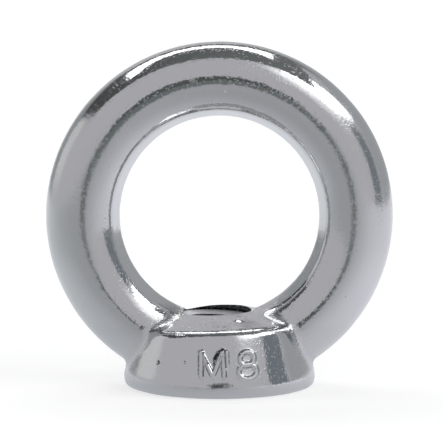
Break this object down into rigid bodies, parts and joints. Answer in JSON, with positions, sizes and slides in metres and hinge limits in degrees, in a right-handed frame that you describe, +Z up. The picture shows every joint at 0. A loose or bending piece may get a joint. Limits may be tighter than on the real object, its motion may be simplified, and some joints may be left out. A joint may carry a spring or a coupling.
{
  "type": "lifting eye nut",
  "caption": "Cast lifting eye nut: a round ring on a flared round base, with a threaded hole up through the base into the ring's eye.",
  "frame": {"origin": "middle of the base's flat underside, on the axis of the threaded hole", "axes": "+Z up along the threaded hole, through the ring; the ring stands in the XZ plane, so its eye looks along Y, and the raised thread size is on the -Y side"},
  "size_m": [0.036, 0.0198, 0.0356],
  "materials": {
    "polished_steel": "gloss"
  },
  "bodies": {
    "root": {"eye_nut": "polished_steel"}
  },
  "joints": []
}
